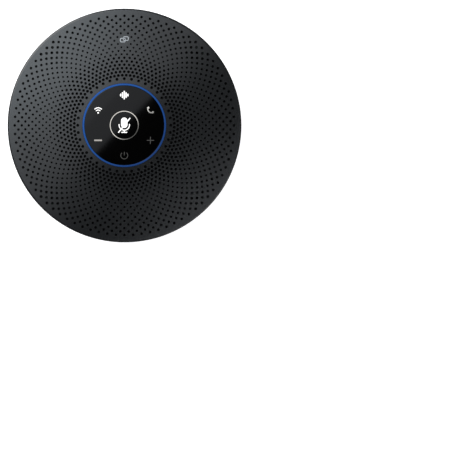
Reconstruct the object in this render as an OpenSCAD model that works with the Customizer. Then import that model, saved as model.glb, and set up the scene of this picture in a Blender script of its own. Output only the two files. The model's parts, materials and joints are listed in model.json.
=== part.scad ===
// Round conference speakerphone: a perforated crowned cover over a bowl-shaped
// base, with a glass touch panel and a blue light ring at the centre.
// The origin is on the table under the middle of the foot ring, +Z is up,
// -Y faces the user and the sockets are at the back, on +Y.

/* [Body] */
// Outside diameter of the perforated cover
body_d = 168.6; // [167:0.2:172]
// Height from the table to the top of the glass
body_h = 50; // [50:1:54]
// Wall of the base bowl
shell_wall = 2.4; // [2.2:0.1:2.6]
// Radius of the curve between the floor and the side of the bowl
bowl_bend_r = 24; // [23:1:25]
// Draft of the side of the bowl, in degrees
bowl_draft = 10; // [8:1:12]
// Middle diameter of the rubber foot ring
foot_d = 100; // [98:1:102]
// Width of the rubber foot ring
foot_w = 8; // [7:1:9]

/* [Cover] */
// Thickness of the perforated cover
cover_t = 2; // [1.6:0.2:2.2]
// Slope of the cover beside the panel, in degrees
slope_inner = 7; // [6:1:8]
// Slope of the cover at the rim, in degrees
slope_outer = 11; // [10:1:12]
// Number of hole rings
hole_rings = 19; // [19]
// Holes in every ring but the innermost, which has half as many
holes_per_ring = 80; // [80]
// Radius of the innermost hole ring
first_ring_r = 33.46; // [33.3:0.02:33.6]
// Distance from one hole ring to the next
ring_pitch = 2.526; // [2.5:0.002:2.54]
// Hole diameter in the smallest ring
hole_d_min = 1.4; // [1.1:0.02:1.44]
// Growth in hole diameter for each ring away from the smallest
hole_d_step = 0.06; // [0.04:0.002:0.06]
// Extra diameter of the holes over the loudspeaker
sound_hole_extra = 0.18; // [0:0.02:0.2]

/* [Control panel] */
// Diameter of the cover glass
glass_d = 57.4; // [57:0.1:57.6]
// Width of the light ring
light_ring_w = 1.2; // [1.2:0.1:1.4]
// Radius of the circle that the six outer symbols stand on
symbol_circle_r = 21.7; // [21.2:0.1:22]
// Thickness of the printed symbols
print_t = 0.06; // [0.04:0.01:0.1]

/* [Speaker driver] */
// Outside diameter of the basket flange
driver_d = 84; // [82:1:86]
// Diameter of the ferrite magnet
magnet_d = 44; // [42:1:45]

/* [Sockets] */
// Height of the socket row above the table
socket_z = 27.5; // [27.5]
// Distance from the middle of the audio socket to the middle of the USB socket
socket_gap = 18; // [17:1:20]
// Bore of the audio socket
audio_bore_d = 3.6; // [3.5:0.05:3.6]

/* [Hidden] */
$fn = 96;
eps = 0.02;             // overlap where two shapes of one solid join

// Cover
rim_r = body_d / 2;
z_top = body_h;
hub_r = glass_d / 2 + light_ring_w + 0.25;    // opening in the cover for the panel
z_hub = z_top - 0.4;                          // cover surface beside the panel
rim_round = 1.6;
slope_change = (tan(slope_outer) - tan(slope_inner)) / (2 * (rim_r - hub_r));
function cover_z(r) = z_hub - tan(slope_inner) * (r - hub_r) - slope_change * pow(r - hub_r, 2);
z_rim = cover_z(rim_r - rim_round);
skirt_t = 2;
z_skirt = z_rim - 4;                          // lower edge of the cover's skirt
collar_t = 2.1;
z_collar = z_top - 5.6;                       // lower edge of the collar round the panel
open_rings = 7;                               // sound holes; the outer rings are dimples
mid_ring = 10;                                // ring with the smallest holes
mic_first_ring = 13;                          // microphone holes run from here to the rim
function hole_ring_r(n) = first_ring_r + ring_pitch * (n - 1);
function hole_d(n) = hole_d_min + hole_d_step * abs(n - mid_ring) + (n <= open_rings ? sound_hole_extra : 0);
function ring_count(n) = n == 1 ? holes_per_ring / 2 : holes_per_ring;
hole_step = 360 / holes_per_ring;
function ring_turn(n) = n % 2 == 1 ? 0 : hole_step / 2;
mic_angles = [45, 135, 225, 315];
mic_r = 72;
cover_screw_r = 70;
cover_screw_angles = [0 : 60 : 300];
panel_screw_r = hub_r + 1.05;
panel_screw_angles = [90, 210, 330];

// Panel stack, from the glass down
glass_r = glass_d / 2;
glass_t = 1.6;
ring_in_r = glass_r + 0.1;
ring_out_r = ring_in_r + light_ring_w;
z_glass = z_top - glass_t;
z_board = z_top - 4.8;                        // underside of the touch board
touch_board_t = 1;
z_leds = z_board + touch_board_t;
led_h = 0.5;
z_light_ring = z_leds + led_h + 0.1;
tray_t = 1.4;
z_tray = z_collar - tray_t;

// Chassis, gasket and driver
chassis_t = 2;
z_chassis = z_rim - 6.1;                      // underside of the chassis
z_flange = z_chassis + chassis_t;
chassis_r = rim_r - 3.3;
driver_r = driver_d / 2;
flange_t = 1.4;
gasket_t = 0.8;
z_basket = z_flange + gasket_t;               // underside of the basket flange
driver_hole_r = driver_r - 5;
driver_screw_r = driver_r - 2.4;
driver_screw_angles = [0 : 90 : 270];
surround_out_r = driver_r - 4.5;
cone_out_r = driver_r - 11;
coil_r = 12.5;
coil_t = 0.6;
z_cone_top = z_basket + flange_t - 0.6;
z_cone_low = z_cone_top - 8.4;
top_plate_t = 3;
magnet_t = 8;
yoke_t = 3.5;
z_plate = z_basket - 14.6;                    // underside of the top plate
z_magnet = z_plate - magnet_t;
z_yoke = z_magnet - yoke_t;
pole_r = coil_r - 1;
gap_out_r = coil_r + coil_t + 0.5;
basket_t = 1.2;
z_seat = z_plate + top_plate_t;               // the basket sits on the top plate
z_spider = z_seat + basket_t + 2;
spider_r = magnet_d / 2 + 4;

// Base bowl
z_floor_out = 1.4;
z_shell_edge = z_skirt - 0.5;                 // visible seam under the skirt
shell_edge_r = rim_r - 1.1;
z_bend_end = z_floor_out + bowl_bend_r * (1 - sin(bowl_draft));
bend_r0 = shell_edge_r - (z_shell_edge - z_bend_end) * tan(bowl_draft) - bowl_bend_r * cos(bowl_draft);
z_floor = z_floor_out + shell_wall;
foot_in_r = foot_d / 2 - foot_w / 2;
foot_out_r = foot_d / 2 + foot_w / 2;
foot_groove = 1.2;
case_screw_r = 50;
case_screw_angles = [50, 130, 230, 310];

// Sockets, electronics and battery
socket_w = 42;
socket_h = 12;
socket_wall_y = 77.2;                         // outer face of the flat wall behind the bezel
socket_wall_t = 1.8;
bezel_t = 0.8;
usb_x = socket_gap / 2;
audio_x = -socket_gap / 2;
main_board_t = 1.6;
z_main_board = socket_z - 3.4;                // underside of the main board
z_parts = z_main_board + main_board_t;
main_board_y = 27;
main_board_r = 74;
cell_d = 18.4;
cell_l = 65;
cell_x = 38;
z_cell = z_floor + 0.8 + cell_d / 2;

function arc(cx, cy, r, from, to, steps) =
    [for (i = [0 : steps]) let (a = from + (to - from) * i / steps) [cx + r * cos(a), cy + r * sin(a)]];

// A ring, or a disc when r_in is 0
module ring(r_in, r_out, z, h) {
    translate([0, 0, z]) difference() {
        cylinder(r = r_out, h = h);
        if (r_in > 0) translate([0, 0, -1]) cylinder(r = r_in, h = h + 2);
    }
}

// A block centred on x and y, standing on z
module block(x, y, z, sx, sy, sz) {
    translate([x - sx / 2, y - sy / 2, z]) cube([sx, sy, sz]);
}

// Repeats its children round the middle axis
module around(angles, r, z = 0) {
    for (a = angles) rotate(a) translate([r, 0, z]) children();
}

// A flat shape with straight sides and round ends
module stadium(w, h) {
    square([w - h, h], center = true);
    for (s = [-1, 1]) translate([s * (w - h) / 2, 0]) circle(d = h);
}

// A rectangle with round corners
module round_rect(w, h, r) {
    square([w - 2 * r, h], center = true);
    square([w, h - 2 * r], center = true);
    for (x = [-1, 1], y = [-1, 1]) translate([x * (w / 2 - r), y * (h / 2 - r)]) circle(r = r);
}

// The outline of a rounded rectangle, drawn with a pen of the given width
module link_outline(w, h, r, pen) {
    difference() {
        round_rect(w, h, r);
        round_rect(w - 2 * pen, h - 2 * pen, r - pen);
    }
}

// Clearance round one half of a link, cut out of its neighbour
module link_gap(side) {
    intersection() {
        link_outline(4.7, 3.8, 1.45, 1.1);
        translate([0, side * 2]) square([8, 4], center = true);
    }
}

// Part of a circular stroke with round ends, from one angle to another
module arc_stroke(r, pen, from, to) {
    difference() {
        circle(r = r + pen / 2);
        circle(r = r - pen / 2);
        polygon(concat([[0, 0]], arc(0, 0, 3 * r, to, from + 360, 12)));
    }
    for (a = [from, to]) rotate(a) translate([r, 0]) circle(d = pen);
}

// A straight stroke with round ends
module stroke(a, b, pen) {
    v = b - a;
    translate((a + b) / 2) rotate(atan2(v[1], v[0])) stadium(norm(v) + pen, pen);
}

// A machine screw with its head down at z and its thread pointing up
module screw(x, y, z, head_d, head_h, shank_d, length) {
    translate([x, y, z]) difference() {
        union() {
            cylinder(d = head_d, h = head_h);
            cylinder(d = shank_d, h = head_h + length);
        }
        for (a = [0, 90]) rotate(a)
            translate([-head_d / 3, -0.3, -1]) cube([head_d / 1.5, 0.6, 1 + head_h / 2]);
    }
}

// The same screw with its head up
module screw_down(x, y, z, head_d, head_h, shank_d, length) {
    translate([x, y, z]) mirror([0, 0, 1]) screw(0, 0, 0, head_d, head_h, shank_d, length);
}

// A round insulated wire along a list of points
module wire(points, d) {
    for (i = [0 : len(points) - 1]) translate(points[i]) sphere(d = 1.12 * d, $fn = 24);
    for (i = [0 : len(points) - 2]) {
        v = points[i + 1] - points[i];
        translate(points[i])
            rotate([0, acos(v[2] / norm(v)), atan2(v[1], v[0])])
                cylinder(d = d, h = norm(v), $fn = 24);
    }
}

// Places a symbol on the panel's circle; 0 is at the top, away from the user
module on_symbol_circle(angle) {
    translate([symbol_circle_r * sin(angle), symbol_circle_r * cos(angle), z_top])
        linear_extrude(print_t) children();
}

// Cover ----------------------------------------------------------------------

module top_cover() {
    // The slope changes only between hole rings, so each hole meets one cone.
    band_r = [50.6, 54.2, 58.4, 62.4, 80.6];
    outer = [for (r = band_r) [r, cover_z(r)]];
    // The underside is stepped, one flat step under each ring of through holes.
    step_r = [for (n = [hole_rings + 1 : -1 : 1])
        if (n <= open_rings + 1 || n >= mic_first_ring) hole_ring_r(n) - ring_pitch / 2];
    under = [for (i = [1 : len(step_r) - 1]) each
        [[step_r[i - 1], cover_z(step_r[i]) - cover_t], [step_r[i], cover_z(step_r[i]) - cover_t]]];
    inner_r = rim_r - skirt_t;
    profile = concat(
        [[hub_r, z_collar], [hub_r, cover_z(hub_r)]],
        outer,
        arc(rim_r - rim_round, z_rim - rim_round, rim_round, 90 - slope_outer, 0, 4),
        [[rim_r, z_skirt], [inner_r, z_skirt], [inner_r, cover_z(inner_r) - cover_t]],
        under,
        [[hub_r + collar_t, cover_z(step_r[len(step_r) - 1]) - cover_t], [hub_r + collar_t, z_collar]]
    );
    boss_z = z_flange + 1;
    color("dimgray") difference() {
        union() {
            rotate_extrude() polygon(profile);
            around(cover_screw_angles, cover_screw_r, boss_z)
                cylinder(d = 6, h = cover_z(cover_screw_r) - 1 - boss_z);
        }
        around(cover_screw_angles, cover_screw_r, boss_z - 1) cylinder(d = 2.3, h = 4);
        around(panel_screw_angles, panel_screw_r, z_collar - 1) cylinder(d = 1.24, h = 3.4);
        for (n = [1 : open_rings], i = [0 : ring_count(n) - 1])
            rotate(ring_turn(n) + i * 360 / ring_count(n))
                translate([hole_ring_r(n), 0, cover_z(hole_ring_r(n)) - cover_t - 1])
                    cylinder(d = hole_d(n), h = cover_t + 2, $fn = 16);
        for (n = [mic_first_ring : hole_rings], a = mic_angles, i = mic_columns(n))
            rotate(a + i * hole_step)
                translate([hole_ring_r(n), 0, cover_z(hole_ring_r(n)) - cover_t - 1])
                    cylinder(d = hole_d(n), h = cover_t + 2, $fn = 16);
    }
}

// Hole positions of a microphone group in ring n, in steps from its middle line
function mic_columns(n) = n == mic_first_ring ? [0] : n % 2 == 0 ? [-0.5, 0.5] : [-1, 0, 1];

module dust_cloth() {
    gap = 0.15;
    cloth_t = 0.3;
    r_in = hub_r + collar_t + 0.2;
    r_out = 50.4;
    top = -cover_t - gap;
    color("black") {
        rotate_extrude() polygon([
            [r_in, cover_z(r_in) + top], [r_out, cover_z(r_out) + top],
            [r_out, cover_z(r_out) + top - cloth_t], [r_in, cover_z(r_in) + top - cloth_t]
        ]);
        around(mic_angles, mic_r, z_flange + 2.3) cylinder(d = 5, h = cloth_t);
    }
}

// Control panel ---------------------------------------------------------------

module cover_glass() {
    edge = 0.3;
    color("black") rotate_extrude() polygon([
        [0, z_glass], [glass_r, z_glass], [glass_r, z_top - edge], [glass_r - edge, z_top], [0, z_top]
    ]);
}

module light_ring() {
    top = z_top - 0.1;
    color("royalblue") difference() {
        ring(ring_in_r, ring_out_r, z_light_ring, top - z_light_ring);
        ring(ring_in_r - 1, ring_in_r + 0.5, z_light_ring - 1, 2.2);
    }
}

// Microphone with a bar through it
module symbol_mute() {
    color("white") translate([0, 0, z_top]) linear_extrude(print_t) {
        translate([0, 1.8]) rotate(90) stadium(7.4, 4.6);
        translate([0, 0.2]) arc_stroke(3.75, 0.65, 174, 366);
        translate([0, -4.4]) square([0.7, 1.2], center = true);
        stroke([-1.75, -5.1], [1.75, -5.1], 0.72);
        stroke([-4.1, -5.1], [4.05, 5], 0.75);
    }
}

module symbol_mute_ring() {
    color("gainsboro") ring(9.85, 10.35, z_top, print_t);
}

// Five bars of a sound level, the mode key
module symbol_mode() {
    bar_pitch = 1.3;
    color("white") on_symbol_circle(0) for (i = [-2 : 2])
        translate([i * bar_pitch, 0]) rotate(90) stadium(6.2 - 2.1 * abs(i), 0.85);
}

// Radio waves leaving a point
module symbol_wireless() {
    color("gainsboro") on_symbol_circle(300) translate([0, -1.9]) {
        circle(d = 1.2);
        for (r = [2, 3.6]) arc_stroke(r, 0.65, 48, 132);
    }
}

// Telephone handset
module symbol_call() {
    color("gainsboro") on_symbol_circle(60) rotate(-45) {
        translate([0, 1.2]) arc_stroke(2.7, 0.95, 214, 326);
        for (s = [-1, 1]) translate([s * 2.3, 0.1]) round_rect(1.5, 1.7, 0.3);
    }
}

module symbol_volume() {
    color("gray") {
        on_symbol_circle(240) round_rect(5.6, 1.1, 0.2);
        on_symbol_circle(120) {
            square([5.2, 0.55], center = true);
            square([0.55, 5.2], center = true);
        }
    }
}

module symbol_power() {
    color("gray") on_symbol_circle(180) {
        arc_stroke(2.5, 0.5, 135, 405);
        stroke([0, 0.3], [0, 2.4], 0.5);
    }
}

// Two linked outlines on the cover, where four holes are left out
module symbol_link() {
    link_r = hole_ring_r(12) + 0.6;
    shift = [1.1, 0.55];
    color("silver") translate([0, link_r, cover_z(link_r)]) rotate([-slope_outer + 1.8, 0, 0])
        translate([0, 0, 0.02]) linear_extrude(0.08) for (side = [-1, 1]) difference() {
            translate(side * shift) link_outline(4.2, 3.3, 1.2, 0.6);
            translate(-side * shift) link_gap(side);
        }
}

module symbol_diffuser() {
    color("white") {
        ring(0, glass_r - 0.3, z_glass - 1.3, 1.25);
        ring(glass_r - 1.6, glass_r - 0.3, z_leds + 0.02, z_glass - 1.3 - z_leds);
    }
}

module touch_board() {
    color("darkgreen") difference() {
        ring(0, hub_r - 0.25, z_board, touch_board_t);
        block(0, -20, z_board - 1, 11, 2, touch_board_t + 2);
    }
}

module ring_leds() {
    count = 16;
    color("lightyellow") for (i = [0 : count - 1]) rotate((i + 0.5) * 360 / count)
        block((ring_in_r + ring_out_r) / 2, 0, z_leds, 0.9, 1.6, led_h);
}

module symbol_leds() {
    spots = concat([[0, 0]], [for (a = [0 : 60 : 300]) [symbol_circle_r * sin(a), symbol_circle_r * cos(a)]]);
    color("lightyellow") for (p = spots) block(p[0], p[1], z_leds, 1.6, 0.9, led_h);
}

module panel_tray() {
    lip_r = ring_in_r - 1.6;
    color("dimgray") difference() {
        union() {
            ring(0, hub_r + collar_t, z_tray, tray_t - 0.05);
            ring(lip_r, hub_r - 0.3, z_tray + tray_t - 0.1, z_board - z_collar + 0.05);
        }
        around(panel_screw_angles, panel_screw_r, z_tray - 1) cylinder(d = 1.5, h = tray_t + 2);
        block(0, -20, z_tray - 1, 12, 3, tray_t + 2);
    }
}

module panel_screws() {
    color("silver") for (a = panel_screw_angles) rotate(a)
        screw(panel_screw_r, 0, z_tray - 0.75, 2.2, 0.7, 1.2, 3);
}

// Chassis ----------------------------------------------------------------------

module chassis() {
    post_d = 6.4;
    post_z = z_floor + 3.2;
    color("dimgray") difference() {
        union() {
            ring(driver_hole_r, chassis_r, z_chassis, chassis_t);
            ring(chassis_r - 15.5, chassis_r - 14.1, z_chassis - 3, 3.1);
            around(case_screw_angles, case_screw_r, post_z)
                cylinder(d = post_d, h = z_chassis - post_z + eps);
            around(cover_screw_angles, cover_screw_r, z_flange - eps) cylinder(d = 6, h = 0.95);
        }
        around(case_screw_angles, case_screw_r, post_z - 1) cylinder(d = 2.2, h = 12);
        around(cover_screw_angles, cover_screw_r, z_chassis - 1) cylinder(d = 2.4, h = 6);
        around(driver_screw_angles, driver_screw_r, z_chassis - 1) cylinder(d = 2, h = 6);
        block(0, -56, z_chassis - 1, 14, 3, 6);
        for (a = mic_angles) rotate(a) block(60, 0, z_chassis - 1, 3, 4, 6);
    }
}

module chassis_gasket() {
    color("black") ring(chassis_r - 3, chassis_r - 0.8, z_chassis - 0.75, 0.7);
}

// Screws that pull the cover down on the chassis, from below
module cover_screws() {
    color("silver") for (a = cover_screw_angles) rotate(a)
        screw(cover_screw_r, 0, z_chassis - 1.25, 4.4, 1.2, 2.2, 5.4);
}

// Speaker driver ------------------------------------------------------------------

module driver_gasket() {
    color("black") difference() {
        ring(driver_hole_r + 0.2, driver_r, z_flange + 0.02, gasket_t - 0.04);
        around(driver_screw_angles, driver_screw_r, z_flange - 1) cylinder(d = 2.6, h = 4);
    }
}

module driver_basket() {
    seat_r = magnet_d / 2 - 1;
    rim = driver_hole_r - 0.8;
    ledge_in = spider_r - 1.2;
    z_ledge = z_spider - 0.02;
    z_window = z_spider + 0.9;
    profile = [
        [seat_r - 5, z_seat], [seat_r + 2, z_seat], [rim, z_basket - 3], [rim, z_basket],
        [driver_r, z_basket], [driver_r, z_basket + flange_t], [surround_out_r - 3.2, z_basket + flange_t],
        [surround_out_r - 3.2, z_basket - 2.4], [spider_r + 0.2, z_ledge + 0.5], [spider_r + 0.2, z_ledge],
        [ledge_in, z_ledge], [seat_r + 1.6, z_seat + basket_t], [seat_r - 5, z_seat + basket_t]
    ];
    color("dimgray") difference() {
        rotate_extrude() polygon(profile);
        for (a = [45 : 90 : 315]) rotate(a)
            translate([spider_r - 2, -11, z_window]) cube([rim, 22, z_basket - 3 - z_window]);
        around(driver_screw_angles, driver_screw_r, z_basket - 1) cylinder(d = 2.6, h = flange_t + 2);
    }
}

module driver_top_plate() {
    color("silver") ring(gap_out_r, magnet_d / 2 - 1, z_plate, top_plate_t - 0.03);
}

module driver_magnet() {
    color("dimgray") ring(gap_out_r + 1.2, magnet_d / 2, z_magnet + 0.02, magnet_t - 0.04);
}

module driver_yoke() {
    color("silver") difference() {
        union() {
            ring(0, magnet_d / 2 - 1, z_yoke, yoke_t);
            ring(0, pole_r, z_yoke, z_plate + top_plate_t - z_yoke);
        }
        ring(0, 3, z_yoke - 1, 40);
    }
}

module driver_screws() {
    color("silver") for (a = driver_screw_angles) rotate(a)
        screw_down(driver_screw_r, 0, z_basket + flange_t + 1.05, 4, 1, 1.9, 3.6);
}

module voice_coil() {
    z_coil = z_plate - 2.2;
    color("chocolate") {
        ring(coil_r, coil_r + 0.2, z_coil, z_cone_low - z_coil + 0.4);
        ring(coil_r + 0.15, coil_r + coil_t, z_coil, 7);
    }
}

module driver_cone() {
    t = 0.5;
    color("black") rotate_extrude() polygon([
        [coil_r + 0.25, z_cone_low], [coil_r + 1, z_cone_low], [cone_out_r, z_cone_top],
        [cone_out_r, z_cone_top + t], [coil_r + 0.9, z_cone_low + t + 0.1],
        [coil_r + 0.25, z_cone_low + t + 0.1]
    ]);
}

module dust_cap() {
    r = coil_r + 2.2;
    rise = 3;
    ball = (r * r + rise * rise) / (2 * rise);
    z0 = z_cone_low + 1.4;
    color("black") intersection() {
        translate([0, 0, z0 + rise - ball]) difference() {
            sphere(r = ball);
            sphere(r = ball - 0.4);
        }
        ring(0, r + 1, z0, rise + 1);
    }
}

// Rubber half roll between the cone and the basket
module cone_surround() {
    t = 0.4;
    mid = (surround_out_r - 3 + cone_out_r) / 2;
    roll_r = mid - cone_out_r - 0.3;
    z0 = z_basket + flange_t + 0.03;
    color("black") rotate_extrude() union() {
        polygon(concat(
            arc(mid, z0, roll_r, 0, 180, 16),
            arc(mid, z0, roll_r - t, 180, 0, 16)
        ));
        translate([mid + roll_r - t, z0]) square([3, t]);
        translate([mid - roll_r - 1.6, z0]) square([1.6 + t, t]);
    }
}

// Corrugated cloth disc that centres the coil
module cone_spider() {
    t = 0.35;
    waves = 4;
    r_in = coil_r + 0.3;
    r_out = spider_r - 1.3;
    steps = 32;
    function wave_z(i) = z_spider - 0.5 * sin(360 * waves * i / steps);
    function wave_r(i) = r_in + (r_out - r_in) * i / steps;
    color("darkgoldenrod") rotate_extrude() polygon(concat(
        [for (i = [0 : steps]) [wave_r(i), wave_z(i)]],
        [[spider_r, z_spider], [spider_r, z_spider + t]],
        [for (i = [steps : -1 : 0]) [wave_r(i), wave_z(i) + t]]
    ));
}

// Microphones ------------------------------------------------------------------------

module mic_boots() {
    z0 = z_flange + 1.1;
    top = cover_z(mic_r + 5) - cover_t - 0.15;
    color("black") for (a = mic_angles) rotate(a) difference() {
        block(mic_r, 0, z0, 9, 9, top - z0);
        translate([mic_r, 0, z0 - 1]) cylinder(d = 5.2, h = 10);
    }
}

module mic_capsules() {
    color("gold") for (a = mic_angles) rotate(a) block(mic_r, 0, z_flange + 1.05, 3, 3.6, 1);
}

module mic_boards() {
    color("darkgreen") for (a = mic_angles) rotate(a) block(mic_r - 2, 0, z_flange + 0.05, 15, 10, 0.95);
}

// Electronics ----------------------------------------------------------------------------

module main_board() {
    color("darkgreen") difference() {
        intersection() {
            ring(0, main_board_r, z_main_board, main_board_t);
            translate([-100, main_board_y, 0]) cube([200, 47.6, 60]);
        }
        around([50, 130], case_screw_r, z_main_board - 1) cylinder(d = 8.4, h = 5);
        for (p = board_screw_spots) translate([p[0], p[1], z_main_board - 1]) cylinder(d = 2.4, h = 5);
        block(audio_x, 72, z_main_board - 1, 6.8, 19, 5);
    }
}

board_screw_spots = [[-20, 32], [20, 32], [-40, 50], [40, 50]];

module board_chips() {
    color("black") {
        block(-12, 50, z_parts, 10, 10, 1);
        block(14, 46, z_parts, 7, 7, 0.9);
        block(30, 56, z_parts, 6, 5, 1);
        block(-30, 50, z_parts, 5, 4, 0.9);
    }
}

module shield_can() {
    color("silver") difference() {
        block(-12, 50, z_parts, 18, 16, 2.6);
        block(-12, 50, z_parts - 1, 17.4, 15.4, 3.3);
    }
}

module radio_module() {
    color("darkblue") block(-52, 40, z_parts, 12, 9, 1.8);
}

module coils_and_capacitors() {
    color("gray") {
        for (x = [0, 9]) block(x + 6, 60, z_parts, 6, 6, 3);
        for (x = [46, 54]) translate([x, 40, z_parts]) cylinder(d = 6, h = 5.5);
        for (x = [-28 : 4 : -20]) block(x, 62, z_parts, 2, 1.2, 0.9);
    }
}

socket_face_y = socket_wall_y - 0.2;

module usb_socket() {
    depth = 8.6;
    color("silver") {
        at_back(usb_x, socket_face_y) difference() {
            linear_extrude(depth) stadium(8.94, 3.26);
            translate([0, 0, -1]) linear_extrude(depth) stadium(8.34, 2.66);
        }
        for (s = [-1, 1], y = [4.5, 7.5])
            block(usb_x + s * 3.6, socket_face_y - y, z_parts, 0.8, 1.2, socket_z - 1.6 - z_parts);
    }
}

module usb_tongue() {
    color("black") block(usb_x, socket_face_y - 4.2, socket_z - 0.35, 6.7, 6.6, 0.7);
}

module audio_socket() {
    depth = 14;
    body_from = socket_wall_t - 0.1;
    color("black") at_back(audio_x, socket_face_y) difference() {
        union() {
            translate([-3.1, -2.6, body_from]) cube([6.2, 5.2, depth - body_from]);
            translate([0, 0, -0.6]) cylinder(d = 5, h = body_from + 0.8);
        }
        translate([0, 0, -2]) cylinder(d = audio_bore_d, h = depth);
    }
}

module board_screws() {
    color("silver") for (p = board_screw_spots)
        screw_down(p[0], p[1], z_parts + 1.05, 3.6, 1, 2, 5);
}

module battery_cells() {
    color("steelblue") for (s = [-1, 1]) translate([s * cell_x, cell_l / 2, z_cell]) rotate([90, 0, 0]) {
        cylinder(d = cell_d, h = cell_l - 1);
        translate([0, 0, cell_l - 1 - eps]) cylinder(d = 6, h = 1);
    }
}

// Moulded cradle: four saddles on a thin plate for each cell
module battery_cradle() {
    color("dimgray") for (s = [-1, 1]) difference() {
        union() {
            block(s * cell_x, 0, z_floor + 0.05, 14, 54, 0.7);
            for (y = [-24, 24]) block(s * cell_x, y, z_floor + 0.05, 17, 4, 7);
        }
        translate([s * cell_x, 60, z_cell]) rotate([90, 0, 0]) cylinder(d = cell_d + 0.1, h = 120);
    }
}

// Leads ----------------------------------------------------------------------------------

module battery_leads() {
    color("red") for (s = [-1, 1])
        wire([
            [s * (cell_x - 1), -33.5, z_cell], [s * 26, -32.5, z_cell - 0.2], [s * 25.7, 24, z_cell + 2],
            [s * 25.6, 25.2, z_parts + 2.4], [s * 25.4, 33, z_parts + 0.8]
        ], 1.4);
}

// Tag board on the side of the basket
module driver_terminals() {
    color("darkgoldenrod") {
        block(0, driver_hole_r + 0.05, z_basket - 7, 12, 1, 4.2);
        for (s = [-1, 1]) block(s * 3, driver_hole_r + 1.2, z_basket - 6, 2.2, 1.4, 0.5);
    }
}

module speaker_leads() {
    color("crimson") for (s = [-1, 1])
        wire([
            [s * 3, driver_hole_r + 1.6, z_basket - 6.75], [s * 3, 41, z_basket - 8],
            [s * 3, 40, z_parts + 0.8]
        ], 1.2);
}

// Flat ribbon from the touch board, round the driver, to the main board
module panel_flex() {
    z_run = z_tray - 0.7;
    color("orange") {
        block(0, -20, z_run, 9, 0.3, z_board - z_run - 0.1);
        block(0, -38, z_run, 9, 36.3, 0.25);
        block(0, -56, z_chassis - 3.6, 9, 0.3, z_run + 0.2 - z_chassis + 3.6);
        rotate_extrude(angle = 180) translate([56, z_chassis - 3.6]) square([0.3, 3]);
    }
}

module mic_leads() {
    z_run = z_parts + 3;
    start = [[63.5, 0, z_flange + 1.6], [60, 0, z_flange + 1.6]];
    color("darkgray") {
        for (a = [45, 135]) rotate(a) wire(concat(start, [[60, 0, z_parts + 0.7]]), 1);
        for (s = [0, 1]) mirror([s, 0, 0]) rotate(-45)
            wire(concat(start, [[60, 0, z_run]],
                [for (a = [9 : 9 : 72]) [66 * cos(a), 66 * sin(a), z_run]],
                [[66 * cos(72), 66 * sin(72), z_parts + 0.7]]), 1);
    }
}

// Base -------------------------------------------------------------------------------------

function bowl_r(a) = bend_r0 + bowl_bend_r * sin(a);
function wall_in_r(z) = shell_edge_r - (z_shell_edge - z) * tan(bowl_draft) - shell_wall / cos(bowl_draft);
function bowl_z(a) = z_floor_out + bowl_bend_r * (1 - cos(a));

// Turns its children to run from the back, at y, towards the middle
module at_back(x, y) {
    translate([x, y, socket_z]) rotate([90, 0, 0]) children();
}

module base_shell() {
    steps = 10;
    turn = 90 - bowl_draft;
    inside_bend = bowl_bend_r - shell_wall;
    tongue_r = rim_r - skirt_t - 0.2;
    tongue_z = z_skirt + 1.4;
    outer = [for (i = [0 : steps]) let (a = turn * i / steps) [bowl_r(a), bowl_z(a)]];
    inner = [for (i = [steps : -1 : 0]) let (a = turn * i / steps)
        [bend_r0 + inside_bend * sin(a), z_floor_out + bowl_bend_r - inside_bend * cos(a)]];
    profile = concat(
        [[0, z_floor_out + 0.6], [38, z_floor_out + 0.6], [38.6, z_floor_out], [foot_in_r, z_floor_out],
         [foot_in_r, z_floor_out + foot_groove], [foot_out_r, z_floor_out + foot_groove],
         [foot_out_r, z_floor_out]],
        outer,
        [[shell_edge_r, z_shell_edge], [tongue_r, z_shell_edge], [tongue_r, tongue_z],
         [chassis_r + 0.25, tongue_z], [chassis_r + 0.25, z_chassis - 0.8],
         [chassis_r - 3.4, z_chassis - 0.8],
         [chassis_r - 3.4, z_chassis - 2.4], [wall_in_r(z_chassis - 7), z_chassis - 7]],
        inner,
        [[0, z_floor]]
    );
    color("#26282a") difference() {
        union() {
            rotate_extrude() polygon(profile);
            intersection() {
                block(0, socket_wall_y - socket_wall_t + 8, socket_z - socket_h / 2 - 1.8,
                    socket_w + 3.6, 16, socket_h + 3.6);
                ring(0, bowl_r(80) - 0.6, 0, z_chassis - 1);
            }
            around(case_screw_angles, case_screw_r, z_floor - eps) cylinder(d = 8, h = 3.1);
            for (p = board_screw_spots)
                translate([p[0], p[1], z_floor - eps]) cylinder(d = 5, h = z_main_board - z_floor + eps);
        }
        at_back(0, socket_wall_y + 20) linear_extrude(20) round_rect(socket_w, socket_h, 2.5);
        at_back(usb_x, socket_wall_y + 1) linear_extrude(4) stadium(9.4, 3.7);
        at_back(audio_x, socket_wall_y + 1) cylinder(d = 5.4, h = 4);
        around(case_screw_angles, case_screw_r) {
            cylinder(d = 3, h = 12);
            cylinder(d = 5, h = z_floor + 0.8);
        }
        for (p = board_screw_spots)
            translate([p[0], p[1], z_main_board - 8]) cylinder(d = 2.02, h = 9);
    }
}

module socket_bezel() {
    color("black") difference() {
        at_back(0, socket_wall_y + bezel_t)
            linear_extrude(bezel_t - 0.02) round_rect(socket_w - 0.4, socket_h - 0.4, 2.3);
        at_back(usb_x, socket_wall_y + 2) linear_extrude(4) stadium(9.2, 3.5);
        at_back(audio_x, socket_wall_y + 2) cylinder(d = 5.2, h = 4);
    }
}

module foot_ring() {
    color("black") rotate_extrude() polygon([
        [foot_in_r + 0.1, z_floor_out + foot_groove - 0.02], [foot_in_r + 0.1, 0.5], [foot_in_r + 0.6, 0],
        [foot_out_r - 0.6, 0], [foot_out_r - 0.1, 0.5], [foot_out_r - 0.1, z_floor_out + foot_groove - 0.02]
    ]);
}

module case_screws() {
    color("silver") for (a = case_screw_angles) rotate(a)
        screw(case_screw_r, 0, z_floor - 1.1, 4.6, 1.85, 2.18, 10);
}

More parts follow.
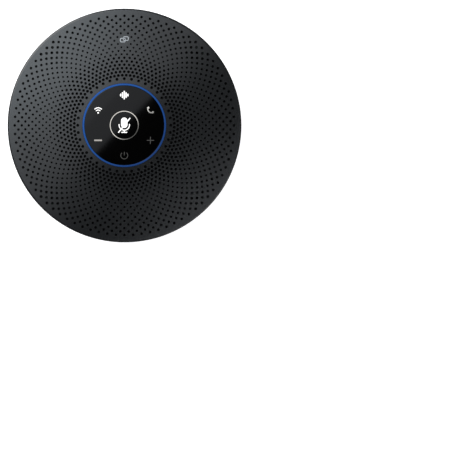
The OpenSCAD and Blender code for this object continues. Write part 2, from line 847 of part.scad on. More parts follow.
top_cover();
cover_glass();
light_ring();
symbol_mute();
symbol_mute_ring();
symbol_mode();
symbol_wireless();
symbol_call();
symbol_volume();
symbol_power();
symbol_link();
dust_cloth();
symbol_diffuser();
touch_board();
ring_leds();
symbol_leds();
panel_tray();
panel_screws();
chassis();
chassis_gasket();
cover_screws();
driver_gasket();
driver_basket();
driver_top_plate();
driver_magnet();
driver_yoke();
driver_screws();
driver_terminals();
voice_coil();
driver_cone();
dust_cap();
cone_surround();
cone_spider();
mic_boots();
mic_capsules();
mic_boards();
main_board();
board_chips();
shield_can();
radio_module();
coils_and_capacitors();
usb_socket();
usb_tongue();
audio_socket();
board_screws();
battery_cells();
battery_cradle();
battery_leads();
speaker_leads();
panel_flex();
mic_leads();
base_shell();
socket_bezel();
foot_ring();
case_screws();
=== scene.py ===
"""A round conference speakerphone: the looks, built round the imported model.

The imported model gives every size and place. Lengths in this script are in millimetres until a piece is
finished, and metres after that. +Z is up and -Y faces the user.
"""
import itertools
import json
import math

import bmesh
import bpy
from mathutils import Matrix, Vector
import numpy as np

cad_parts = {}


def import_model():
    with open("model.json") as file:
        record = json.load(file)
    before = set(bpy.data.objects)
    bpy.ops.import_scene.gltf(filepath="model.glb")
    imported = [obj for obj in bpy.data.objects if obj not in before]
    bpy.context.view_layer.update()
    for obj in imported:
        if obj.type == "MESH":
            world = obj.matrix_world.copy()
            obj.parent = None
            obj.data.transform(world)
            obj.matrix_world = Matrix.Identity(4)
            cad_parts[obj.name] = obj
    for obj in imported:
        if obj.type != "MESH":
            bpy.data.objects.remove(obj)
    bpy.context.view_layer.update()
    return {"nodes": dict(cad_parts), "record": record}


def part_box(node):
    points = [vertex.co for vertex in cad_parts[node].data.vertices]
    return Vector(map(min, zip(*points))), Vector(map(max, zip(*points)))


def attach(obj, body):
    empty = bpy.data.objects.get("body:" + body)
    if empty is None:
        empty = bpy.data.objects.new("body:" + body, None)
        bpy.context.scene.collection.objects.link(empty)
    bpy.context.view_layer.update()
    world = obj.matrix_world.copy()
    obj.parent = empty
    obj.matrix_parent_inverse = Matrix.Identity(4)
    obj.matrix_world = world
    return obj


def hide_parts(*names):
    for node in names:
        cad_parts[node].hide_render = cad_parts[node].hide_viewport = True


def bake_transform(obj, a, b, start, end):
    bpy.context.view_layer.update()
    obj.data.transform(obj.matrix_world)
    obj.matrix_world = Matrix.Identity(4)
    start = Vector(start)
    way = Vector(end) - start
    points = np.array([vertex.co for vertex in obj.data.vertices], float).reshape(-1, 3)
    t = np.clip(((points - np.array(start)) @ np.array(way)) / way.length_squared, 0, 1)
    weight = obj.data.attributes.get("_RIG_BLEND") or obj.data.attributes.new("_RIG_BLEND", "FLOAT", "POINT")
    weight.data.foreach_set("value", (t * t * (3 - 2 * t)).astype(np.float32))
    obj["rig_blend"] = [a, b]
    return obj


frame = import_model()

MM = 0.001
# Towards the key light: the painted light on the ring and the symbols grows along this direction.
TOWARDS_FAR_LEFT = (-math.sqrt(0.5), math.sqrt(0.5), 0)
SLOTS = {row["node"]: row["material_slot"] for row in frame["record"]["subparts"]}
HOUSING = "housing"
DIAPHRAGM = "diaphragm"


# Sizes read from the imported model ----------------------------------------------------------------

def low(node):
    """Lowest corner of a node, in millimetres."""
    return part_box(node)[0] / MM


def high(node):
    """Highest corner of a node, in millimetres."""
    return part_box(node)[1] / MM


RIM_R = high("top_cover").x
SKIRT_Z = low("top_cover").z
GLASS_R = high("cover_glass").x
GLASS_TOP = high("cover_glass").z
GLASS_LOW = low("cover_glass").z
GUIDE_R = high("light_ring").x
GUIDE_TOP = high("light_ring").z
GUIDE_LOW = low("light_ring").z
HUB_R = GUIDE_R + 0.15
HUB_Z = GLASS_TOP - 0.4

# Crown of the cover: the slope grows from the panel to the rim.
COVER_T = 2.0
RIM_ROUND = 1.6
SLOPE_INNER = math.tan(math.radians(7))
SLOPE_OUTER = math.tan(math.radians(11))
SLOPE_CHANGE = (SLOPE_OUTER - SLOPE_INNER) / (2 * (RIM_R - HUB_R))

# Hole pattern
HOLE_RINGS = 19
HOLES_PER_RING = 80
FIRST_RING_R = 33.46
RING_PITCH = 2.526
HOLE_D_MIN = 1.4
HOLE_D_STEP = 0.06
SOUND_HOLE_EXTRA = 0.22
SMALLEST_RING = 10
OPEN_RINGS = 7
MIC_FIRST_RING = 13
DIMPLE_DEPTH = 1.0
HOLE_SIDES = 16
ARC_STEP = math.radians(360 / HOLES_PER_RING / 2)


def cover_z(r):
    """Height of the cover's outer surface at radius r."""
    return HUB_Z - SLOPE_INNER * (r - HUB_R) - SLOPE_CHANGE * (r - HUB_R) ** 2


def cover_slope(r):
    """Slope of the cover's outer surface at radius r, as height lost over distance."""
    return SLOPE_INNER + 2 * SLOPE_CHANGE * (r - HUB_R)


# Making pieces -----------------------------------------------------------------------------------

def arc(cx, cy, r, start, end, steps):
    """Points on an arc, from one angle to another, in degrees."""
    angles = [math.radians(start + (end - start) * i / steps) for i in range(steps + 1)]
    return [(cx + r * math.cos(a), cy + r * math.sin(a)) for a in angles]


def turned(bm, profile, steps=160, closed=True):
    """Turns a profile of (radius, height) points round the Z axis."""
    verts = [bm.verts.new((r, 0, z)) for r, z in profile]
    first = 0 if closed else 1
    edges = [bm.edges.new((verts[i - 1], verts[i])) for i in range(first, len(verts))]
    bmesh.ops.spin(bm, geom=verts + edges, cent=(0, 0, 0), axis=(0, 0, 1), angle=math.tau,
                   steps=steps, use_merge=True, use_duplicate=False)
    return bm


def welded(bm, distance=0.0005):
    """Joins points that coincide, drops collapsed faces and turns all faces outwards."""
    bmesh.ops.remove_doubles(bm, verts=bm.verts, dist=distance)
    bmesh.ops.dissolve_degenerate(bm, edges=bm.edges, dist=distance)
    bmesh.ops.recalc_face_normals(bm, faces=bm.faces)
    return bm


def piece(name, bm, materials, body=HOUSING, stands_for=(), crease=30):
    """Finishes a piece: metres, smooth faces with sharp creases, materials, and the body that it rides on."""
    bmesh.ops.scale(bm, vec=(MM, MM, MM), verts=bm.verts)
    for face in bm.faces:
        face.smooth = True
    mesh = bpy.data.meshes.new(name)
    bm.to_mesh(mesh)
    bm.free()
    mesh.set_sharp_from_angle(angle=math.radians(crease))
    for material in materials:
        mesh.materials.append(material)
    obj = bpy.data.objects.new(name, mesh)
    bpy.context.scene.collection.objects.link(obj)
    if body:
        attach(obj, body)
    if stands_for:
        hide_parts(*stands_for)
    return obj


# Nodes -------------------------------------------------------------------------------------------

def add(tree, kind, **values):
    """Adds a node. A value named after a socket sets that socket; any other sets a property of the node."""
    node = tree.nodes.new(kind)
    for key, value in values.items():
        name = key.replace("_", " ")
        if name[0].isupper():
            node.inputs[name].default_value = value
        else:
            setattr(node, key, value)
    return node


def link(tree, source, target):
    tree.links.new(source, target)


def new_group(name, inputs, outputs):
    """An empty shader group with float, vector or colour sockets."""
    group = bpy.data.node_groups.new(name, "ShaderNodeTree")
    for label, kind in inputs:
        group.interface.new_socket(label, in_out="INPUT", socket_type=kind)
    for label, kind in outputs:
        group.interface.new_socket(label, in_out="OUTPUT", socket_type=kind)
    return group, group.nodes.new("NodeGroupInput"), group.nodes.new("NodeGroupOutput")


def grain_group():
    """Moulding grain: a fine height, and broad soft patches that shift colour and gloss a little."""
    group, source, result = new_group(
        "moulding_grain",
        [("Grain Scale", "NodeSocketFloat"), ("Patch Scale", "NodeSocketFloat")],
        [("Height", "NodeSocketFloat"), ("Patches", "NodeSocketFloat")],
    )
    place = add(group, "ShaderNodeTexCoord")
    fine = add(group, "ShaderNodeTexNoise", Detail=3.0, Roughness=0.6)
    broad = add(group, "ShaderNodeTexNoise", Detail=4.0, Roughness=0.55)
    link(group, place.outputs["Object"], fine.inputs["Vector"])
    link(group, place.outputs["Object"], broad.inputs["Vector"])
    link(group, source.outputs["Grain Scale"], fine.inputs["Scale"])
    link(group, source.outputs["Patch Scale"], broad.inputs["Scale"])
    link(group, fine.outputs["Fac"], result.inputs["Height"])
    link(group, broad.outputs["Fac"], result.inputs["Patches"])
    return group


def painted_light_fade_group():
    """How strongly a symbol glows at each place, as painted light: most at the far left, where the key light
    falls, least at the near right.
    """
    fade_start, fade_end = -11 * MM, 1 * MM
    group, source, result = new_group(
        "painted_light_fade", [("Near", "NodeSocketFloat"), ("Far", "NodeSocketFloat")],
        [("Glow", "NodeSocketFloat")],
    )
    place = add(group, "ShaderNodeTexCoord")
    along = add(group, "ShaderNodeVectorMath", operation="DOT_PRODUCT")
    along.inputs[1].default_value = TOWARDS_FAR_LEFT
    spread = add(group, "ShaderNodeMapRange", interpolation_type="SMOOTHSTEP")
    spread.inputs["From Min"].default_value = fade_start
    spread.inputs["From Max"].default_value = fade_end
    link(group, place.outputs["Object"], along.inputs[0])
    link(group, along.outputs["Value"], spread.inputs["Value"])
    link(group, source.outputs["Near"], spread.inputs["To Min"])
    link(group, source.outputs["Far"], spread.inputs["To Max"])
    link(group, spread.outputs["Result"], result.inputs["Glow"])
    return group


GRAIN = grain_group()
PAINTED_LIGHT_FADE = painted_light_fade_group()


def use_group(tree, group, **values):
    node = add(tree, "ShaderNodeGroup")
    node.node_tree = group
    for key, value in values.items():
        node.inputs[key.replace("_", " ")].default_value = value
    return node


def new_material(name):
    material = bpy.data.materials.new(name)
    material.use_nodes = True
    tree = material.node_tree
    return material, tree, tree.nodes["Principled BSDF"]


def set_sockets(shader, **values):
    for key, value in values.items():
        shader.inputs[key.replace("_", " ")].default_value = value


def blend_colours(tree, factor, one, two):
    """Mixes two colours by a value and gives the resulting socket."""
    mix = add(tree, "ShaderNodeMix", data_type="RGBA")
    mix.inputs[6].default_value = (*one, 1)
    mix.inputs[7].default_value = (*two, 1)
    link(tree, factor, mix.inputs[0])
    return mix.outputs[2]


def spread(tree, value, low_end, high_end, start=0.3, end=0.7):
    """Maps a noise value to a range."""
    node = add(tree, "ShaderNodeMapRange")
    for label, number in (("From Min", start), ("From Max", end), ("To Min", low_end), ("To Max", high_end)):
        node.inputs[label].default_value = number
    link(tree, value, node.inputs["Value"])
    return node.outputs["Result"]


def bump(tree, shader, height, depth, strength=1.0):
    """Raises the surface by a height pattern of the given depth, in millimetres."""
    node = add(tree, "ShaderNodeBump", Strength=strength, Distance=depth * MM)
    link(tree, height, node.inputs["Height"])
    link(tree, node.outputs["Normal"], shader.inputs["Normal"])


def moulded(name, dark, light, gloss, grain=1600.0, depth=0.01, patches=40.0, **sockets):
    """A moulded or pressed surface: two near colours in soft patches, uneven gloss and a fine grain."""
    material, tree, shader = new_material(name)
    texture = use_group(tree, GRAIN, Grain_Scale=grain, Patch_Scale=patches)
    factor = spread(tree, texture.outputs["Patches"], 0, 1)
    link(tree, blend_colours(tree, factor, dark, light), shader.inputs["Base Color"])
    link(tree, spread(tree, texture.outputs["Patches"], *gloss), shader.inputs["Roughness"])
    bump(tree, shader, texture.outputs["Height"], depth)
    set_sockets(shader, **sockets)
    return material


# Materials ---------------------------------------------------------------------------------------

def satin_cover():
    return moulded("satin_cover", (0.0065, 0.007, 0.0075), (0.008, 0.0085, 0.009), (0.26, 0.28),
                   grain=2600.0, depth=0.002, patches=25.0)


# Painted shade: the walls and floors of the holes are far darker and less glossy than the cover, for the
# shade that falls inside them.
def hole_painted_shade():
    return moulded("hole_painted_shade", (0.001, 0.001, 0.001), (0.0015, 0.0015, 0.0015), (0.7, 0.8), depth=0.003,
                   Specular_IOR_Level=0.05)


def black_glass():
    material, tree, shader = new_material("black_glass")
    texture = use_group(tree, GRAIN, Grain_Scale=300.0, Patch_Scale=60.0)
    factor = spread(tree, texture.outputs["Patches"], 0, 1)
    link(tree, blend_colours(tree, factor, (0.0001, 0.0001, 0.0001), (0.0003, 0.0003, 0.0003)),
         shader.inputs["Base Color"])
    link(tree, spread(tree, texture.outputs["Patches"], 0.065, 0.075), shader.inputs["Roughness"])
    set_sockets(shader, Specular_IOR_Level=0.27)
    return material


def blue_light():
    """Translucent light guide over a ring of blue lamps. The blue glow is real; its rise towards the far
    left, where the key light falls, is painted light.
    """
    material, tree, shader = new_material("blue_light")
    place = add(tree, "ShaderNodeTexCoord")
    along = add(tree, "ShaderNodeVectorMath", operation="DOT_PRODUCT")
    along.inputs[1].default_value = TOWARDS_FAR_LEFT
    link(tree, place.outputs["Object"], along.inputs[0])
    # Painted light: glow and colour grow towards the far left, the side of the key light.
    factor = spread(tree, along.outputs["Value"], 0, 1, -GUIDE_R * MM, GUIDE_R * MM)
    link(tree, blend_colours(tree, factor, (0.004, 0.030, 0.122), (0.015, 0.088, 0.325)),
         shader.inputs["Emission Color"])
    link(tree, blend_colours(tree, factor, (0.002, 0.008, 0.04), (0.003, 0.01, 0.05)),
         shader.inputs["Base Color"])
    set_sockets(shader, Emission_Strength=1.0, Roughness=0.4, Specular_IOR_Level=0.12)
    return material


def painted_light_print(name, colour, near, far, strength=1.0):
    """A printed symbol made to glow as painted light, which fades across the panel from the far left, where
    the key light falls, to the near right.
    """
    material, tree, shader = new_material(name)
    fade = use_group(tree, PAINTED_LIGHT_FADE, Near=near, Far=far)
    link(tree, blend_colours(tree, fade.outputs["Glow"], (0, 0, 0), colour), shader.inputs["Emission Color"])
    link(tree, blend_colours(tree, fade.outputs["Glow"], (0.001, 0.001, 0.001), (0.02, 0.02, 0.02)),
         shader.inputs["Base Color"])
    set_sockets(shader, Emission_Strength=strength, Roughness=0.3)
    return material


def weave(name, dark, light, threads_per_mm):
    """Plain woven cloth."""
    material, tree, shader = new_material(name)
    place = add(tree, "ShaderNodeTexCoord")
    waves = []
    for direction in ("X", "Y"):
        wave = add(tree, "ShaderNodeTexWave", bands_direction=direction, Distortion=0.4,
                   Scale=threads_per_mm / MM / 20 * math.pi)
        link(tree, place.outputs["Object"], wave.inputs["Vector"])
        waves.append(wave.outputs["Fac"])
    cross = add(tree, "ShaderNodeMath", operation="MULTIPLY")
    for socket, value in zip(cross.inputs, waves):
        link(tree, value, socket)
    link(tree, blend_colours(tree, cross.outputs[0], dark, light), shader.inputs["Base Color"])
    link(tree, spread(tree, cross.outputs[0], 0.95, 0.8, 0, 1), shader.inputs["Roughness"])
    bump(tree, shader, cross.outputs[0], 0.05)
    return material


def brushed_metal(name, dark, light, gloss, stretch=(1, 30, 30)):
    """Metal with fine lines along one direction."""
    material, tree, shader = new_material(name)
    place = add(tree, "ShaderNodeTexCoord")
    turn = add(tree, "ShaderNodeMapping", Scale=stretch)
    lines = add(tree, "ShaderNodeTexNoise", Scale=120.0, Detail=4.0)
    link(tree, place.outputs["Object"], turn.inputs["Vector"])
    link(tree, turn.outputs["Vector"], lines.inputs["Vector"])
    factor = spread(tree, lines.outputs["Fac"], 0, 1)
    link(tree, blend_colours(tree, factor, dark, light), shader.inputs["Base Color"])
    link(tree, spread(tree, lines.outputs["Fac"], *gloss), shader.inputs["Roughness"])
    bump(tree, shader, lines.outputs["Fac"], 0.004)
    set_sockets(shader, Metallic=1.0)
    return material


MATERIALS = {
    "satin_cover": satin_cover(),
    "hole_painted_shade": hole_painted_shade(),
    "black_glass": black_glass(),
    "blue_light": blue_light(),
    # The printed symbols glow as painted light, brightest at the far left where the key light falls.
    "white_print": painted_light_print("white_print", (1.0, 1.0, 0.98), 1.0, 1.0, strength=1.5),
    "call_print": painted_light_print("call_print", (0.94, 0.93, 0.88), 0.17, 1.0),
    "halo_print": painted_light_print("halo_print", (0.78, 0.75, 0.69), 0.07, 1.0),
    "grey_print": painted_light_print("grey_print", (0.41, 0.39, 0.36), 0.12, 1.0),
    "link_print": moulded("link_print", (0.29, 0.31, 0.33), (0.33, 0.35, 0.37), (0.5, 0.6), depth=0.002),
    "shell_plastic": moulded("shell_plastic", (0.012, 0.012, 0.013), (0.016, 0.016, 0.017), (0.38, 0.46),
                             grain=2200.0, depth=0.012),
    "inner_plastic": moulded("inner_plastic", (0.015, 0.015, 0.016), (0.022, 0.022, 0.023), (0.5, 0.62)),
    "diffuser": moulded("diffuser", (0.75, 0.75, 0.73), (0.8, 0.8, 0.78), (0.45, 0.55), depth=0.004),
    "foot_rubber": moulded("foot_rubber", (0.010, 0.010, 0.010), (0.016, 0.016, 0.016), (0.75, 0.9),
                           grain=900.0, depth=0.03),
    "seal_foam": moulded("seal_foam", (0.012, 0.012, 0.012), (0.022, 0.022, 0.022), (0.9, 1.0),
                         grain=1500.0, depth=0.08),
    "dust_fabric": weave("dust_fabric", (0.001, 0.001, 0.001), (0.004, 0.004, 0.004), 5),
    "board_green": moulded("board_green", (0.006, 0.05, 0.022), (0.012, 0.085, 0.035), (0.25, 0.35),
                           grain=500.0, depth=0.02, patches=90.0),
    "component_black": moulded("component_black", (0.012, 0.012, 0.013), (0.02, 0.02, 0.021), (0.45, 0.6)),
    "led_white": moulded("led_white", (0.7, 0.66, 0.4), (0.85, 0.82, 0.55), (0.2, 0.3), depth=0.002),
    "tin_shield": brushed_metal("tin_shield", (0.55, 0.55, 0.53), (0.7, 0.7, 0.67), (0.3, 0.42)),
    "screw_steel": brushed_metal("screw_steel", (0.45, 0.45, 0.44), (0.6, 0.6, 0.58), (0.25, 0.4)),
    "magnet_steel": brushed_metal("magnet_steel", (0.5, 0.5, 0.47), (0.62, 0.62, 0.58), (0.28, 0.4)),
    "ferrite": moulded("ferrite", (0.028, 0.028, 0.029), (0.045, 0.045, 0.046), (0.55, 0.7),
                       grain=700.0, depth=0.03),
    "coil_copper": brushed_metal("coil_copper", (0.55, 0.22, 0.09), (0.72, 0.33, 0.15), (0.25, 0.35),
                                 stretch=(1, 1, 90)),
    "cone_paper": moulded("cone_paper", (0.016, 0.016, 0.016), (0.035, 0.035, 0.034), (0.8, 0.95),
                          grain=450.0, depth=0.06, patches=160.0),
    "surround_rubber": moulded("surround_rubber", (0.012, 0.012, 0.012), (0.018, 0.018, 0.018), (0.4, 0.5),
                               grain=1200.0, depth=0.01),
    "spider_cloth": weave("spider_cloth", (0.24, 0.13, 0.035), (0.5, 0.3, 0.1), 3),
    "mic_gold": brushed_metal("mic_gold", (0.7, 0.52, 0.22), (0.82, 0.65, 0.32), (0.2, 0.3)),
    "contact_steel": brushed_metal("contact_steel", (0.6, 0.6, 0.6), (0.75, 0.75, 0.75), (0.15, 0.28)),
    "cell_wrap": moulded("cell_wrap", (0.02, 0.07, 0.2), (0.03, 0.1, 0.26), (0.22, 0.3),
                         grain=200.0, depth=0.03),
    "ribbon_amber": moulded("ribbon_amber", (0.3, 0.13, 0.02), (0.42, 0.2, 0.04), (0.2, 0.3), depth=0.004),
    "wire_red": moulded("wire_red", (0.35, 0.015, 0.012), (0.45, 0.025, 0.02), (0.3, 0.42), depth=0.01),
    "wire_grey": moulded("wire_grey", (0.2, 0.2, 0.21), (0.3, 0.3, 0.31), (0.35, 0.45), depth=0.01),
}


# Cover with its holes ----------------------------------------------------------------------------

def ring_r(ring):
    return FIRST_RING_R + RING_PITCH * (ring - 1)


def hole_d(ring, kind):
    extra = SOUND_HOLE_EXTRA if kind == "open" else 0
    return HOLE_D_MIN + HOLE_D_STEP * abs(ring - SMALLEST_RING) + extra


def holes_in(ring):
    return HOLES_PER_RING // 2 if ring == 1 else HOLES_PER_RING


def hole_kind(ring, index):
    """open: a hole right through; dimple: a blind hole; none: left out for the link symbol."""
    step = 360 / holes_in(ring)
    angle = (index + (0 if ring % 2 else 0.5)) * step
    from_front = (angle + 180) % 360 - 180
    if ring in (11, 13) and abs(from_front) < 0.1 or ring == 12 and abs(from_front) < step:
        return "none"
    if ring <= OPEN_RINGS:
        return "open"
    width = 0.1 if ring == MIC_FIRST_RING else 0.6 * step if ring % 2 == 0 else 1.1 * step
    near_mic = abs((angle % 90) - 45) < width
    return "open" if ring >= MIC_FIRST_RING and near_mic else "dimple"


def hole_cell(bm, ring, kind):
    """One cell of the hole lattice, lying flat with its hole's middle on the X axis."""
    half = math.pi / holes_in(ring)
    steps = round(2 * half / ARC_STEP)
    inner, outer = ring_r(ring) - RING_PITCH / 2, ring_r(ring) + RING_PITCH / 2
    start = bm.verts.new((inner * math.cos(half), -inner * math.sin(half), 0))
    bmesh.ops.spin(bm, geom=[start], cent=(0, 0, 0), axis=(0, 0, 1), angle=2 * half, steps=steps)
    verts = {start} | {v for e in bm.edges if e.is_wire for v in e.verts}
    edges = list({e for v in verts for e in v.link_edges})
    strip = bmesh.ops.extrude_edge_only(bm, edges=edges)["geom"]
    moved = [g for g in strip if isinstance(g, bmesh.types.BMVert)]
    bmesh.ops.scale(bm, vec=(outer / inner, outer / inner, 1), verts=moved)
    faces = [g for g in strip if isinstance(g, bmesh.types.BMFace)]
    sheet = bmesh.ops.dissolve_faces(bm, faces=faces)["region"]
    under = bmesh.ops.duplicate(bm, geom=sheet)["geom"]
    under_faces = [g for g in under if isinstance(g, bmesh.types.BMFace)]
    bmesh.ops.translate(bm, vec=(0, 0, -COVER_T), verts=list({v for f in under_faces for v in f.verts}))
    if kind == "none":
        return
    border = list(sheet[0].edges)
    bmesh.ops.delete(bm, geom=sheet, context="FACES_ONLY")
    place = Matrix.Translation((ring_r(ring), 0, 0))
    hole_r = hole_d(ring, kind) / 2
    circle = bmesh.ops.create_circle(bm, segments=HOLE_SIDES, radius=hole_r, matrix=place)["verts"]
    rim = list({e for v in circle for e in v.link_edges})
    bmesh.ops.triangle_fill(bm, use_beauty=True, edges=border + rim)
    wall = bmesh.ops.extrude_edge_only(bm, edges=rim)["geom"]
    low_rim = [g for g in wall if isinstance(g, bmesh.types.BMEdge) and not set(g.verts) & set(circle)]
    low_verts = list({v for e in low_rim for v in e.verts})
    inside = [g for g in wall if isinstance(g, bmesh.types.BMFace)]
    if kind == "dimple":
        bmesh.ops.translate(bm, vec=(0, 0, -DIMPLE_DEPTH), verts=low_verts)
        inside += bmesh.ops.edgeloop_fill(bm, edges=low_rim)["faces"]
    else:
        bmesh.ops.translate(bm, vec=(0, 0, -COVER_T), verts=low_verts)
        under_border = list(under_faces[0].edges)
        bmesh.ops.delete(bm, geom=under_faces, context="FACES_ONLY")
        bmesh.ops.triangle_fill(bm, use_beauty=True, edges=under_border + low_rim)
    # The hole walls and floors take the painted shade material.
    for face in inside:
        face.material_index = 1


def hole_ring(ring):
    """All the cells of one ring: each run of like holes is one cell, turned and repeated."""
    bm = bmesh.new()
    step = math.tau / holes_in(ring)
    first = 0 if ring % 2 else step / 2
    kinds = [hole_kind(ring, i) for i in range(holes_in(ring))]
    index = 0
    for kind, run in itertools.groupby(kinds):
        count = len(list(run))
        part = bmesh.new()
        hole_cell(part, ring, kind)
        turn = Matrix.Rotation(math.pi / 2 + first + index * step, 3, "Z")
        bmesh.ops.rotate(part, cent=(0, 0, 0), matrix=turn, verts=part.verts)
        if count > 1:
            bmesh.ops.spin(part, geom=part.verts[:] + part.edges[:] + part.faces[:], cent=(0, 0, 0),
                           axis=(0, 0, 1), angle=step * (count - 1), steps=count - 1, use_duplicate=True)
        copy_into(bm, part)
        index += count
    return bm


def copy_into(bm, part):
    """Adds one bmesh to another."""
    mesh = bpy.data.meshes.new("part")
    part.to_mesh(mesh)
    part.free()
    bm.from_mesh(mesh)
    bpy.data.meshes.remove(mesh)


def perforated_cover():
    bm = bmesh.new()
    for ring in range(1, HOLE_RINGS + 1):
        copy_into(bm, hole_ring(ring))
    for vert in bm.verts:
        vert.co.z += cover_z(math.hypot(vert.co.x, vert.co.y))
    edge_in = ring_r(1) - RING_PITCH / 2
    edge_out = ring_r(HOLE_RINGS) + RING_PITCH / 2
    round_z = cover_z(RIM_R - RIM_ROUND)
    skirt_t = 2.0
    slope = math.degrees(math.atan(SLOPE_OUTER))
    lip = 0.25
    rim = [(edge_out, cover_z(edge_out)), (RIM_R - RIM_ROUND - 0.6, cover_z(RIM_R - RIM_ROUND - 0.6))]
    rim += arc(RIM_R - RIM_ROUND, round_z - RIM_ROUND, RIM_ROUND, 90 - slope, 0, 7)
    rim += arc(RIM_R - lip, SKIRT_Z + lip, lip, 0, -90, 3)
    rim += arc(RIM_R - skirt_t + lip, SKIRT_Z + lip, lip, -90, -180, 2)
    rim += [(RIM_R - skirt_t, cover_z(RIM_R - skirt_t) - COVER_T), (edge_out, cover_z(edge_out) - COVER_T)]
    turned(bm, rim, closed=False)
    collar_t, collar_deep = 2.1, 5.6
    edge, edge_middle = 0.2, 0.06
    collar_z = GLASS_TOP - collar_deep
    hub = [(edge_in, cover_z(edge_in) - COVER_T), (HUB_R + collar_t, cover_z(edge_in) - COVER_T)]
    hub += [(HUB_R + collar_t, collar_z), (HUB_R, collar_z), (HUB_R, cover_z(HUB_R) - edge)]
    hub += [(HUB_R + edge_middle, cover_z(HUB_R) - edge_middle), (HUB_R + edge, cover_z(HUB_R + edge))]
    hub += [(edge_in, cover_z(edge_in))]
    turned(bm, hub, closed=False)
    welded(bm)
    obj = piece("perforated_cover", bm, [MATERIALS["satin_cover"], MATERIALS["hole_painted_shade"]],
                stands_for=["top_cover"])
    crown_normals(obj.data)
    return obj


def crown_normals(mesh):
    """Gives the crown the true normals of the curved surface, so that it shades without facets."""
    normals = [(0.0, 0.0, 0.0)] * len(mesh.loops)
    limit = (RIM_R - RIM_ROUND - 0.3) * MM
    for polygon in mesh.polygons:
        on_crown = polygon.material_index == 0 and polygon.normal.z > 0.9
        if not on_crown or max(math.hypot(*mesh.vertices[v].co.xy) for v in polygon.vertices) > limit:
            continue
        for loop in polygon.loop_indices:
            x, y, _ = mesh.vertices[mesh.loops[loop].vertex_index].co
            r = math.hypot(x, y)
            slope = cover_slope(r / MM)
            normals[loop] = Vector((slope * x / r, slope * y / r, 1)).normalized()
    mesh.normals_split_custom_set(normals)


# Control panel -----------------------------------------------------------------------------------

def panel_glass():
    bm = bmesh.new()
    edge = 0.35
    profile = [(0, GLASS_TOP), (GLASS_R - edge, GLASS_TOP)]
    profile += arc(GLASS_R - edge, GLASS_TOP - edge, edge, 78, 0, 6)
    profile += [(GLASS_R, GLASS_LOW), (0, GLASS_LOW)]
    turned(bm, profile, closed=False)
    return piece("panel_glass", welded(bm), [MATERIALS["black_glass"]],
                 stands_for=["cover_glass"], crease=40)


def light_guide():
    bm = bmesh.new()
    gap, edge = 0.1, 0.25
    step_w, step_h = 0.5, 1.2
    inner = GLASS_R + gap
    profile = arc(inner + edge, GUIDE_TOP - edge, edge, 180, 90, 4)
    profile += arc(GUIDE_R - edge, GUIDE_TOP - edge, edge, 90, 0, 4)
    profile += [(GUIDE_R, GUIDE_LOW), (inner + step_w, GUIDE_LOW)]
    profile += [(inner + step_w, GUIDE_LOW + step_h), (inner, GUIDE_LOW + step_h)]
    turned(bm, profile)
    return piece("light_guide", welded(bm), [MATERIALS["blue_light"]],
                 stands_for=["light_ring"])


def printed(bm, faces, thickness):
    """Gives flat faces the thickness of a print, upwards."""
    grown = bmesh.ops.extrude_face_region(bm, geom=faces, use_keep_orig=True)["geom"]
    raised = [g for g in grown if isinstance(g, bmesh.types.BMVert)]
    bmesh.ops.translate(bm, vec=(0, 0, thickness), verts=raised)


def grip(bm, thickness):
    """Curved grip of the handset symbol, bulging towards -Y."""
    middle_r, pen, centre_y, sweep = 2.75, 0.68, 1.2, math.radians(100)
    ends = [bm.verts.new((r, 0, 0)) for r in (middle_r - pen / 2, middle_r + pen / 2)]
    start = bm.edges.new(ends)
    turn = Matrix.Rotation(-math.pi / 2 - sweep / 2, 3, "Z")
    bmesh.ops.rotate(bm, cent=(0, 0, 0), matrix=turn, verts=ends)
    bmesh.ops.spin(bm, geom=ends + [start], cent=(0, 0, 0), axis=(0, 0, 1), angle=sweep, steps=18)
    bmesh.ops.translate(bm, vec=(0, centre_y, 0), verts=bm.verts)
    printed(bm, bm.faces[:], thickness)


def ear(bm, side, thickness):
    """Rounded end of the handset symbol."""
    width, height, lean = 1.3, 1.5, math.radians(12)
    corner, reach, rise = 0.35, 2.3, 0.1
    part = bmesh.new()
    bmesh.ops.create_grid(part, x_segments=1, y_segments=1, size=0.5)
    bmesh.ops.scale(part, vec=(width, height, 1), verts=part.verts)
    bmesh.ops.bevel(part, geom=part.verts[:], affect="VERTICES", offset=corner, segments=4, profile=0.5,
                    material=-1)
    bmesh.ops.rotate(part, cent=(0, 0, 0), matrix=Matrix.Rotation(side * lean, 3, "Z"), verts=part.verts)
    bmesh.ops.translate(part, vec=(side * reach, rise, 0), verts=part.verts)
    printed(part, part.faces[:], thickness)
    copy_into(bm, part)


def handset():
    """Call symbol: a slim grip between two rounded ends, turned to lie across its place on the panel."""
    bm = bmesh.new()
    thickness = high("symbol_call").z - GLASS_TOP
    grip(bm, thickness * 0.9)
    for side in (-1, 1):
        ear(bm, side, thickness)
    middle = (low("symbol_call") + high("symbol_call")) / 2
    bmesh.ops.rotate(bm, cent=(0, 0, 0), matrix=Matrix.Rotation(-math.pi / 4, 3, "Z"), verts=bm.verts)
    centre = [(min(v.co[k] for v in bm.verts) + max(v.co[k] for v in bm.verts)) / 2 for k in (0, 1)]
    bmesh.ops.translate(bm, vec=(middle.x - centre[0], middle.y - centre[1], GLASS_TOP), verts=bm.verts)
    return piece("call_handset", welded(bm, 0.00005), [MATERIALS["call_print"]],
                 stands_for=["symbol_call"])


# Loudspeaker suspension --------------------------------------------------------------------------

def flex_between(obj, still_r, moving_r):
    """Bends a ring all round: it follows the housing at one radius and the diaphragm at the other."""
    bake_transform(obj, HOUSING, DIAPHRAGM, start=(still_r * MM, 0, 0), end=(moving_r * MM, 0, 0))
    share = obj.data.attributes["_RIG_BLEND"].data
    for point, vert in zip(share, obj.data.vertices):
        r = math.hypot(vert.co.x, vert.co.y) / MM
        t = min(max((r - still_r) / (moving_r - still_r), 0), 1)
        point.value = t * t * (3 - 2 * t)


